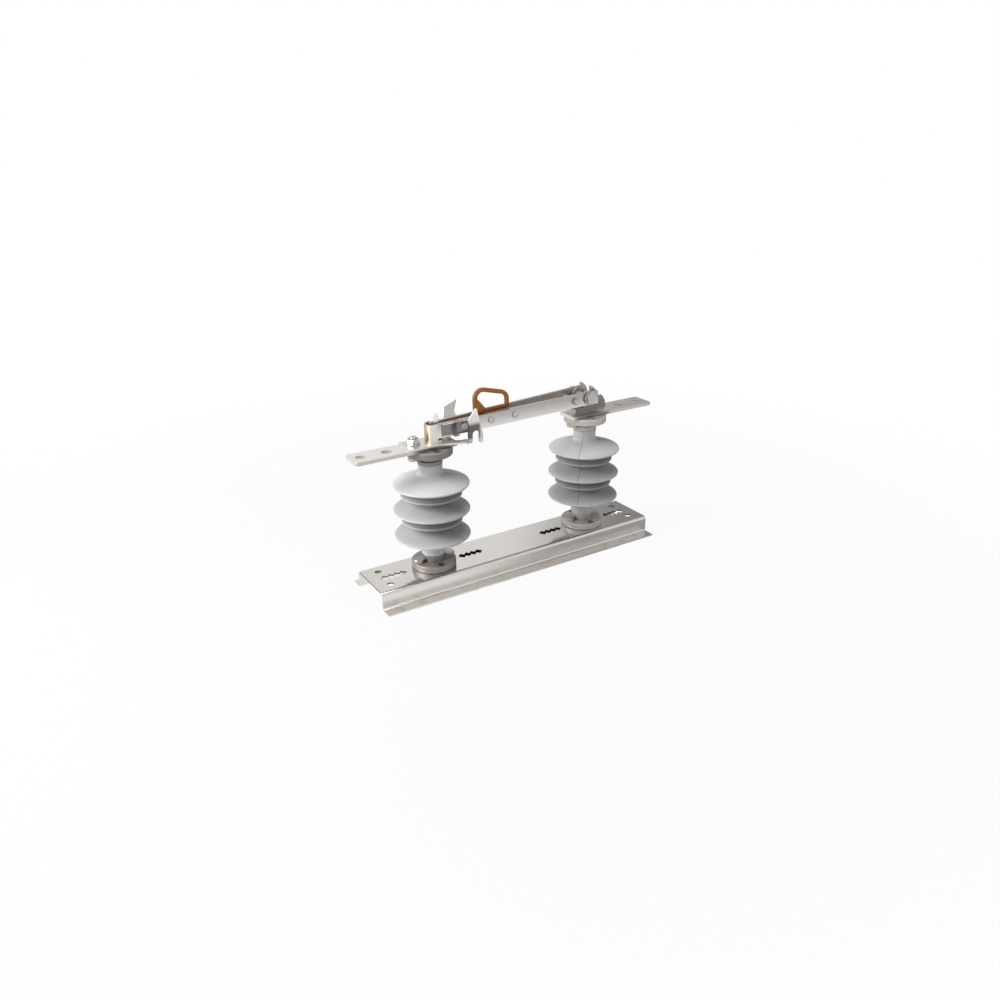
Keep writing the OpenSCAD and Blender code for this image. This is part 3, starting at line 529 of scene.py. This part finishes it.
def pressed_clip():
    f = Finish("pressed_clip")
    dark, darker, rubbed = (0.27, 0.25, 0.24), (0.21, 0.195, 0.185), (0.84, 0.81, 0.78)
    cloud = f.noise(40, 5)
    scuff = f.rise(f.noise(200, 4), 0.52, 0.7)
    # painted highlight along the clip's two long edges
    edge = f.rise(abs(f.z - clip_middle), clip_reach - 2.6 * mm, clip_reach - 1.6 * mm)
    colour = f.blend(dark, darker, cloud)
    colour = f.blend(colour, rubbed, edge * (0.8 + 0.2 * cloud))
    rough = 0.22 + 0.14 * scuff
    relief = f.bump(scuff + cloud, 0.03 * mm, 0.2)
    return f.surface(Base_Color=colour, Roughness=rough, Metallic=0.9, Normal=relief)


clip_finish = pressed_clip()
print("made", clip_finish.name)

# %% [markdown]
# The jaw's strap is bronze, tan at the back, and its front is painted pale as the highlight on its
# bend. The border between them runs askew, so its mask mixes the length and the width.

# %% Jaw bronze
strap_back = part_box("jaw_strap")[0].x


def jaw_bronze():
    f = Finish("jaw_bronze")
    tan, deep_tan, front_highlight = (0.51, 0.425, 0.272), (0.425, 0.34, 0.204), (0.74, 0.72, 0.68)
    cloud = f.noise(60, 5)
    scuff = f.rise(f.noise(260, 4), 0.5, 0.7)
    # painted highlight: the front of the strap's bend is painted pale
    front = f.rise(f.x - 0.8 * f.y, strap_back + 7 * mm, strap_back + 13 * mm)
    colour = f.blend(tan, deep_tan, cloud)
    colour = f.blend(colour, front_highlight, front * (0.75 + 0.2 * cloud))
    rough = 0.32 + 0.08 * scuff
    relief = f.bump(scuff + cloud, 0.03 * mm, 0.12)
    return f.surface(Base_Color=colour, Roughness=rough, Metallic=0.9, Normal=relief)


jaw_finish = jaw_bronze()
print("made", jaw_finish.name)

# %% [markdown]
# The pull ring is cast bronze with a brown skin. A casting is grainy all over and cloudy in colour,
# and it is rubbed brighter at the top of the eye, where a hook stick pulls.

# %% Brown bronze
ring_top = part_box("pull_ring")[1].z


def brown_bronze():
    f = Finish("brown_bronze")
    brown, deep_brown, rubbed_bronze = (0.36, 0.15, 0.045), (0.25, 0.095, 0.03), (0.50, 0.24, 0.08)
    cloud = f.noise(46, 5)
    grain = f.noise(620, 4)
    rubbed = f.rise(f.z, ring_top - 14 * mm, ring_top) * f.rise(f.noise(90, 5), 0.4, 0.7)
    colour = f.blend(brown, deep_brown, cloud)
    colour = f.blend(colour, rubbed_bronze, rubbed * 0.5)
    rough = 0.36 + 0.16 * cloud - 0.10 * rubbed
    relief = f.bump(grain + cloud, 0.07 * mm, 0.6)
    return f.surface(Base_Color=colour, Roughness=rough, Metallic=0.75, Normal=relief)


ring_finish = brown_bronze()
print("made", ring_finish.name)

# %% [markdown]
# Looks are added to copies of the CAD pieces, so the packed meshes stay as they are. A CAD mesh
# comes as triangles, which a bevel would cut into slivers. So points that lie on each other are
# welded first, and triangles that lie in one plane are joined back into whole faces.

# %% Copies of the CAD pieces
def welded(node):
    bm = bmesh.new()
    bm.from_mesh(frame["nodes"][node].data)
    bmesh.ops.remove_doubles(bm, verts=bm.verts, dist=0.002 * mm)
    return bm


def outline_of(node):
    bm = welded(node)
    nearly_flat = math.radians(0.6)
    bmesh.ops.dissolve_limit(bm, angle_limit=nearly_flat, verts=bm.verts, edges=bm.edges)
    return bm


def put_in(bm, name, finish):
    mesh = bpy.data.meshes.new(name)
    bm.to_mesh(mesh)
    bm.free()
    piece = bpy.data.objects.new(name, mesh)
    bpy.context.scene.collection.objects.link(piece)
    mesh.materials.append(finish)
    mesh.shade_smooth()
    return piece


channel_copy = outline_of("base_channel")
print("the channel's outline has", len(channel_copy.faces), "faces")
channel_copy.free()

# %% [markdown]
# Edges in a CAD model are perfectly sharp and catch no light. Every real edge is broken a little.
# A shader can fake that, but only inside the outline, so here the edges are real: a Bevel modifier
# rounds them, and weighted normals keep the large faces flat beside it. The shaped mesh is then
# fixed, and the copy stands for its CAD piece and rides on the same body.


def settle(piece):
    bpy.context.view_layer.update()
    shown = piece.evaluated_get(bpy.context.evaluated_depsgraph_get())
    shaped = bpy.data.meshes.new_from_object(shown)
    shaped.name = piece.name
    piece.modifiers.clear()
    piece.data = shaped
    return piece


def break_edges(piece, width, segments=2):
    bevel = piece.modifiers.new("broken edges", "BEVEL")
    bevel.width = width
    bevel.segments = segments
    bevel.limit_method = "ANGLE"
    bevel.angle_limit = math.radians(28)
    bevel.miter_outer = "MITER_ARC"
    flat = piece.modifiers.new("flat faces", "WEIGHTED_NORMAL")
    flat.weight = 80
    return settle(piece)


def stands_for(piece, node):
    owner = frame["nodes"][node]
    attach(piece, owner["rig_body"])
    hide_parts(node)
    return piece


# %% [markdown]
# How far an edge is broken depends on how the piece was made. Sheared sheet and small turned pieces
# lose a few tenths of a millimetre, sawn bars and castings half a millimetre or more, and the cast
# ring a whole one. The widths are in millimetres, each beside the finish of its piece.

# %% Pieces with broken edges
rounded = {
    "base_channel": (0.35, sheet_finish),
    "jaw_post_bottom_fitting": (0.7, jaw_casting_finish),
    "jaw_post_top_fitting": (0.7, jaw_top_shade_finish),
    "hinge_post_bottom_fitting": (0.7, hinge_casting_finish),
    "hinge_post_top_fitting": (0.7, hinge_casting_finish),
    "jaw_terminal": (0.6, terminal_finish),
    "hinge_terminal": (0.6, terminal_finish),
    "hook_bracket": (0.5, bracket_finish),
    "jaw_strap": (0.4, jaw_finish),
    "jaw_tongue": (0.6, tongue_finish),
    "hinge_bracket": (0.6, hinge_finish),
    "blade_bar_near": (0.5, near_bar_finish),
    "blade_bar_far": (0.5, far_bar_finish),
    "blade_rivets": (0.4, bolt_finish),
    "blade_clips": (0.25, clip_finish),
    "latch_pin": (0.4, bolt_finish),
    "jaw_stud_washer": (0.3, bolt_finish),
    "hinge_flange_washers": (0.3, bolt_finish),
    "hinge_pin_washers": (0.3, bolt_finish),
    "jaw_stud_nut": (0.3, bolt_finish),
    "jaw_low_nut": (0.3, bolt_finish),
    "hinge_flange_nuts": (0.3, bolt_finish),
    "hinge_pin_nut": (0.3, bolt_finish),
    "jaw_post_base_nuts": (0.3, bolt_finish),
    "hinge_post_base_nuts": (0.3, bolt_finish),
    "pull_ring": (1.0, ring_finish),
}
for node, (width, finish) in rounded.items():
    piece = put_in(outline_of(node), node + "_rounded", finish)
    break_edges(piece, width * mm, 3 if width >= 1 else 2)
    stands_for(piece, node)
    print("rounded", node, "by", width, "mm,", len(piece.data.polygons), "faces")

# %% [markdown]
# A bolt's end shows its thread. The thread could be a bump, but its outline would stay straight, so
# it is real: rings of points whose radius follows a slope that climbs one pitch in each turn, with
# a chamfer at the tip. Threads, posts and collars are all rings of points with faces between them,
# so one small helper makes the faces.

# %% One thread
def skin(bm, rows, closed=True):
    count = len(rows[0])
    for first, second in zip(rows, rows[1:]):
        for j in range(count if closed else count - 1):
            k = (j + 1) % count
            bm.faces.new((first[j], second[j], second[k], first[k]))


def direction(axis):
    return Vector([1.0 if i == axis % 3 else 0.0 for i in range(3)])


def add_thread(bm, centre, axis, start, tip, radius, pitch):
    per_pitch, around = 8, 36
    depth, flank, chamfer, chamfer_slope = 0.55 * pitch, 1.35, 0.5 * pitch, 0.7
    along, side = direction(axis), direction(axis + 1)
    other = along.cross(side)
    steps = max(per_pitch, int(abs(tip - start) / pitch * per_pitch))
    rings = []
    for i in range(steps + 1):
        at = start + (tip - start) * i / steps
        widest = radius - chamfer + chamfer_slope * abs(tip - at)
        ring = []
        for j in range(around):
            phase = (at / pitch - j / around) % 1.0
            crest = min(1.0, flank * abs(2 * phase - 1))
            r = min(radius - depth * (1 - crest), widest)
            a = 2 * math.pi * j / around
            spoke = math.cos(a) * side + math.sin(a) * other
            ring.append(bm.verts.new(centre + along * at + r * spoke))
        rings.append(ring)
    skin(bm, rings)
    bm.faces.new(rings[-1])


print("threads along", [tuple(direction(axis)) for axis in (1, 2)])

# %% [markdown]
# Each bolt is a copy of its CAD piece. Its shank is first cut back into the nut, so that nothing
# smooth pokes through, and the thread takes its place from there to the tip. The coarse 12 mm
# thread climbs 1.75 mm in a turn, the small 6 mm one of the spacer bolt 1 mm.

# %% Threaded bolts
across, upright = 1, 2
coarse, small = (6 * mm, 1.75 * mm), (3 * mm, 1.0 * mm)
same_level, sharp_crest = 0.01 * mm, math.radians(38)


def threaded(node, axis, tip_side, shown, thread, centres):
    bm = outline_of(node)
    low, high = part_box(node)
    tip = high[axis] if tip_side > 0 else low[axis]
    start = tip - tip_side * shown
    for v in bm.verts:
        if abs(v.co[axis] - tip) < same_level:
            v.co[axis] = start
    piece = break_edges(put_in(bm, node + "_bolt", bolt_finish), 0.3 * mm)
    bm = bmesh.new()
    bm.from_mesh(piece.data)
    for centre in centres:
        flat_centre = Vector([0.0 if i == axis else centre[i] for i in range(3)])
        add_thread(bm, flat_centre, axis, start, tip, *thread)
    bmesh.ops.recalc_face_normals(bm, faces=bm.faces)
    bm.to_mesh(piece.data)
    bm.free()
    piece.data.set_sharp_from_angle(angle=sharp_crest)
    print("threaded", node, "over", round(shown / mm, 1), "mm,", len(piece.data.polygons), "faces")
    return stands_for(piece, node)


def middle(node):
    low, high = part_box(node)
    return (low + high) / 2


flange_r = middle("jaw_low_nut").x + post_x


def pair(node):
    c = middle(node)
    return [Vector((c.x - flange_r, c.y, c.z)), Vector((c.x + flange_r, c.y, c.z))]


threaded("jaw_stud_bolt", upright, 1, 8 * mm, coarse, [middle("jaw_stud_bolt")])
threaded("jaw_low_bolt", upright, -1, 6 * mm, coarse, [middle("jaw_low_bolt")])
threaded("hinge_flange_bolts", upright, 1, 6 * mm, coarse, pair("hinge_flange_bolts"))
threaded("jaw_post_base_bolts", upright, -1, 8 * mm, coarse, pair("jaw_post_base_bolts"))
threaded("hinge_post_base_bolts", upright, -1, 8 * mm, coarse, pair("hinge_post_base_bolts"))
threaded("hinge_pin", across, 1, 8 * mm, coarse, [middle("hinge_pin")])
threaded("blade_spacer_bolt", across, 1, 4 * mm, small, [middle("blade_spacer_bolt")])

# %% [markdown]
# A silicone post is moulded, so it is round without any flats. A Subdivision modifier would round
# it, but it would also pull in the thin rims of the sheds. So the CAD mesh is cut through its axis
# to read the outline, in millimetres, from the top down. Of the cut only what lies outside the
# post's core is kept, on one side.

# %% Outline of a post
core_radius = 20


def half_outline(node):
    bm = welded(node)
    axis_x = middle(node).x
    everything = bm.verts[:] + bm.edges[:] + bm.faces[:]
    cut = bmesh.ops.bisect_plane(bm, geom=everything, plane_co=(axis_x, 0, 0), plane_no=(0, 1, 0))
    links = {}
    for e in cut["geom_cut"]:
        if isinstance(e, bmesh.types.BMEdge):
            a, b = ((round((v.co.x - axis_x) / mm, 3), round(v.co.z / mm, 3)) for v in e.verts)
            if a != b and min(a[0], b[0]) > core_radius:
                links.setdefault(a, []).append(b)
                links.setdefault(b, []).append(a)
    bm.free()
    path = [max(links, key=lambda p: (p[1], p[0]))]
    while True:
        onward = [p for p in links[path[-1]] if p not in path]
        if not onward:
            return axis_x, path
        path.append(onward[0])


for post in ("jaw_post", "hinge_post"):
    print("outline of", post, len(half_outline(post + "_rubber")[1]), "points")

# %% [markdown]
# The outline is then turned in many small steps, like clay on a wheel. A Screw modifier would do
# the same, but the helper that makes the rings here serves the collar below as well. Normals are
# smoothed over, except across the sharp rims.

# %% Turned rubber
sharp_rim = math.radians(50)


def ring_at(bm, axis_x, level, radius_at, around):
    ring = []
    for j in range(around):
        a = 2 * math.pi * j / around
        r = radius_at(a) * mm
        ring.append(bm.verts.new((axis_x + r * math.cos(a), r * math.sin(a), level * mm)))
    return ring


def turned(node, name, axis_x, path, around=200):
    bm = bmesh.new()
    rings = [ring_at(bm, axis_x, z, lambda a: r, around) for r, z in path]
    skin(bm, rings)
    bm.faces.new(rings[0])
    bm.faces.new(rings[-1][::-1])
    piece = put_in(bm, name, rubber_finish)
    piece.data.set_sharp_from_angle(angle=sharp_rim)
    print("turned", node, "from", len(path), "points,", len(piece.data.polygons), "faces")
    return stands_for(piece, node)


print("sharp rims from", round(math.degrees(sharp_rim)), "degrees")

# %% [markdown]
# The mould's two halves leave a seam down each side of a post, a thin rib that follows every shed.
# It could be painted, but in raking light it shows as a rib, and the same outline gives its shape:
# four points across at each step, the outer two just under the rubber's skin.

# %% Mould seams
seam_height, seam_root = 0.18, -0.1


def add_seam(name, axis_x, path, angle, wide):
    bm = bmesh.new()
    out = Vector((math.cos(angle), math.sin(angle), 0))
    across_seam = Vector((-math.sin(angle), math.cos(angle), 0))
    section = (
        (-wide, seam_root), (-wide * 0.5, seam_height), (wide * 0.5, seam_height), (wide, seam_root)
    )
    rows = []
    for i, (r, z) in enumerate(path):
        before, after = path[max(0, i - 1)], path[min(len(path) - 1, i + 1)]
        way = Vector((after[0] - before[0], after[1] - before[1]))
        lift_r, lift_z = -way.y / way.length, way.x / way.length
        row = []
        for side, height in section:
            radius, level = r + height * lift_r, z + height * lift_z
            foot = Vector((axis_x, 0, level * mm))
            row.append(bm.verts.new(foot + out * radius * mm + across_seam * side * mm))
        rows.append(row)
    skin(bm, rows, closed=False)
    bmesh.ops.recalc_face_normals(bm, faces=bm.faces)
    piece = put_in(bm, name, seam_finish)
    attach(piece, "stand")
    print("seam", name, len(piece.data.polygons), "faces")


print("a seam stands", seam_height, "mm above the rubber")

# %% [markdown]
# At the top of each post a thin metal collar is crimped round the rubber and the ferrule. The
# crimps are small upright dents all round it. They could be a bump, but the collar's edge would
# stay a plain circle, so they are cut into the radius of its rings by a power of a cosine, which
# gives narrow dents with flat lands between them.

# %% Crimped collars
collar_below, crimps, crimp_depth = 3, 24, 0.6


def add_collar(name, axis_x, radius, rubber_top, above, finish, around=192):
    bm = bmesh.new()
    high, low = rubber_top + above, rubber_top - collar_below
    section = (
        (high, -1.2), (high, 0.1), (high - 0.4, 0.5), (low + 0.4, 0.5), (low, 0.1), (low, -0.6)
    )
    rings = []
    for level, out in section:
        dent = crimp_depth if out > 0 else 0.0
        rings.append(ring_at(
            bm, axis_x, level,
            lambda a: radius + out - dent * max(0.0, math.cos(crimps * a)) ** 4, around,
        ))
    skin(bm, rings)
    piece = put_in(bm, name, finish)
    piece.data.set_sharp_from_angle(angle=sharp_rim)
    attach(piece, "stand")
    print("collar", name, len(piece.data.polygons), "faces")


print("a collar has", crimps, "crimps")

# %% [markdown]
# Both posts come from the same mould, but they are screwed on at different angles, so their seams
# look different ways. The hinge post's seam is the wider one, and its collar shows more of itself
# below the flange.

# %% Both posts
posts = {
    "jaw_post": {"seam_angle": -62, "seam_wide": 0.22, "above": 4.0, "metal": jaw_casting_finish},
    "hinge_post": {"seam_angle": -136, "seam_wide": 0.5, "above": 6.5, "metal": collar_finish},
}
for post, own in posts.items():
    axis_x, path = half_outline(post + "_rubber")
    turned(post + "_rubber", post + "_turned", axis_x, path)
    add_collar(post + "_collar", axis_x, *path[0], own["above"], own["metal"])
    for side, half_turn in (("front", 0), ("back", 180)):
        angle = math.radians(own["seam_angle"] + half_turn)
        add_seam(post + "_seam_" + side, axis_x, path, angle, own["seam_wide"])

# %% [markdown]
# The studio floor is plain and pale and takes the shadow. Lit to pure white it would light the
# switch from below, so it is a mid grey paint for light that falls on it, and plain white where
# the camera or a mirror looks at it. The Light Path node tells these apart. Bright metal needs
# something dark to show as well: under the channel the paint stays grey, which darkens its slots,
# and mirrors see mostly grey on the hinge's side, from just in front of the channel to the back.

# %% Floor
channel_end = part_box("base_channel")[1].x


def pale_floor():
    f = Finish("pale_floor")
    light_paint, dark_paint = (0.50, 0.50, 0.495), (0.48, 0.48, 0.475)
    cloud = f.noise(3, 4)
    colour = f.blend(light_paint, dark_paint, cloud)
    paint = f.painted(Base_Color=colour, Roughness=0.6 + 0.1 * cloud, Metallic=0.0)
    white = f.node("ShaderNodeEmission", {}, {"Color": (1, 1, 1, 1), "Strength": 1.0})
    far = f.rise((f.x * f.x + f.y * f.y) ** 0.5, 0.45, 1.4)
    to_hinge = f.rise(f.x, -0.15, 0.15) * f.rise(f.y, -0.35, -0.2)
    along = f.x + channel_end
    short_of_end = f.fall(f.x, channel_end - 21 * mm, channel_end - 1 * mm)
    under_middle = f.fall(abs(f.y), 52 * mm, 60 * mm) * f.rise(along, 76 * mm, 96 * mm)
    under_jaw_end = f.fall(abs(f.y + 20 * mm), 34 * mm, 40 * mm) * f.rise(along, 23 * mm, 33 * mm)
    under = f.maths("MAXIMUM", under_middle, under_jaw_end) * short_of_end
    seen = f.maths("MAXIMUM", f.ray("Camera"), f.ray("Transmission")) * (0.94 + 0.06 * far)
    mirrored = f.ray("Glossy") * (1 - 0.85 * to_hinge)
    whitened = (seen + mirrored) * (1 - under)
    return f.close(f.node("ShaderNodeMixShader", {}, {0: whitened, 1: paint, 2: white}))


bm = bmesh.new()
bmesh.ops.create_grid(bm, x_segments=8, y_segments=8, size=30)
floor = put_in(bm, "floor", pale_floor())
floor.location.z = -0.4 * mm
print("floor", len(floor.data.polygons), "faces")

# %% [markdown]
# Matt rubber and paint are lit by three soft lamps: a broad one above, the key from the jaw's end,
# which gives the sheds a light and a dark side, and a weak fill from the front right. An area lamp
# is used, because its size makes the shadows soft. The fill is left out of mirrors, or it would
# show as a bright patch on the channel's web.

# %% Lights
def soft_light(name, place, aim, side, watts):
    lamp = bpy.data.lights.new(name, "AREA")
    lamp.shape = "SQUARE"
    lamp.size = side
    lamp.energy = watts
    light = bpy.data.objects.new(name, lamp)
    bpy.context.scene.collection.objects.link(light)
    light.location = place
    light.rotation_euler = (Vector(aim) - Vector(place)).to_track_quat("-Z", "Y").to_euler()
    return light


soft_light("top", (-0.15, -0.1, 2.0), (0, 0, 0.2), 1.3, 18.5)
soft_light("key", (-1.25, 0.15, 0.8), (-0.05, 0, 0.15), 0.8, 21)
fill = soft_light("fill", (1.6, -1.5, 1.1), (0, 0, 0.2), 2.0, 10)
fill.visible_glossy = False

# %% [markdown]
# The air round the switch works like the floor: dim for light that falls on the switch, and white
# where the camera or a mirror looks. Mirrors see it a little darker overhead, and much darker
# behind to the right, so that the edges and flanks of the metal stand out from the white.

# %% Air
world = bpy.data.worlds.new("studio")
bpy.context.scene.world = world
world.use_nodes = True
air = Network(world.node_tree)
rightward, away, high = air.parts(air.node("ShaderNodeTexCoord", out="Generated"))
white = air.node("ShaderNodeBackground", {}, {"Color": (1, 1, 1, 1), "Strength": 1.0})
dim = air.node("ShaderNodeBackground", {}, {"Color": (1, 1, 1, 1), "Strength": 0.09})
seen = air.maths("MAXIMUM", air.ray("Camera"), air.ray("Transmission"))
shaded = air.rise(rightward - 0.7 * away, -0.06, 0.12) * air.rise(away, 0.0, 0.3)
overhead = air.rise(high, 0.5, 0.9)
whitened = seen + air.ray("Glossy") * (1 - 0.4 * overhead) * (1 - 0.72 * shaded)
mixed = air.node("ShaderNodeMixShader", {}, {0: whitened, 1: dim, 2: white})
air.node("ShaderNodeOutputWorld", {}, {"Surface": mixed})
bpy.context.scene.view_settings.view_transform = "Standard"
print("air", len(world.node_tree.nodes), "nodes")
